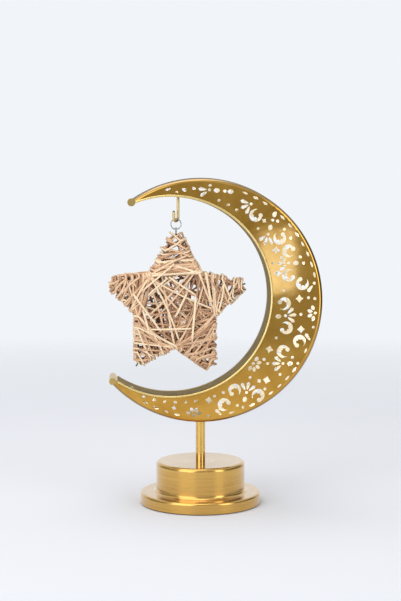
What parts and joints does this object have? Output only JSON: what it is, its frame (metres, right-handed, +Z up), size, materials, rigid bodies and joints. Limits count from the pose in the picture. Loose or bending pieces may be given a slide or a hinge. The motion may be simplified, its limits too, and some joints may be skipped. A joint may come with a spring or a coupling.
{
  "type": "eid crescent ornament",
  "caption": "Table ornament: a pierced gold crescent on a stem and round stepped base, with a rattan-wound star that swings from a hook in its bay.",
  "frame": {"origin": "centre of the foam pad's underside, on the stem's axis", "axes": "+Z up along the stem, -Y to the front of the crescent, +X to its closed side"},
  "size_m": [0.1976, 0.1128, 0.3028],
  "materials": {
    "brushed_gold": "spun sheet, fine lathe lines, satin gold lacquer",
    "pierced_gold": "pierced sheet, satin gold lacquer",
    "dark_gold": "satin gold lacquer, darker",
    "bright_rim": "polished gold wire",
    "hook_gold": "polished gold wire",
    "steel": "zinc-plated steel",
    "dark_rod": "black threaded rod",
    "cast_iron": "rough casting",
    "foam": "closed-cell foam, fine grain",
    "silver_wire": "bright plated wire",
    "frame_wire": "dark grey iron wire",
    "rattan": "split rattan, pale tan with brown streaks"
  },
  "bodies": {
    "stand": {"base_shell": "brushed_gold", "stem_tube": "brushed_gold", "moon_front_shell": "pierced_gold", "moon_back_shell": "pierced_gold", "moon_inner_band": "dark_gold", "outer_seam_strip": "dark_gold", "front_rim_wire": "bright_rim", "back_rim_wire": "bright_rim", "hook": "hook_gold", "base_plate": "steel", "base_screws": "steel", "lower_washer": "steel", "lower_nut": "steel", "moon_saddle": "steel", "upper_washer": "steel", "upper_nut": "steel", "hook_nut": "steel", "tie_rod": "dark_rod", "ballast_disc": "cast_iron", "foot_pad": "foam"},
    "ring": {"jump_ring": "silver_wire"},
    "star": {"star_eye": "silver_wire", "star_wire_frame": "frame_wire", "rattan_arm_wraps": "rattan", "rattan_body_wraps": "rattan"}
  },
  "joints": [
    {"name": "ring_swing", "type": "hinge", "parent": "stand", "child": "ring", "pos_m": [-0.0226, 0, 0.263], "axis": [0, 1, 0], "range_deg": [-12, 15]},
    {"name": "star_swing", "type": "hinge", "parent": "ring", "child": "star", "pos_m": [-0.0226, 0, 0.2557], "axis": [1, 0, 0], "range_deg": [-30, 30]}
  ]
}
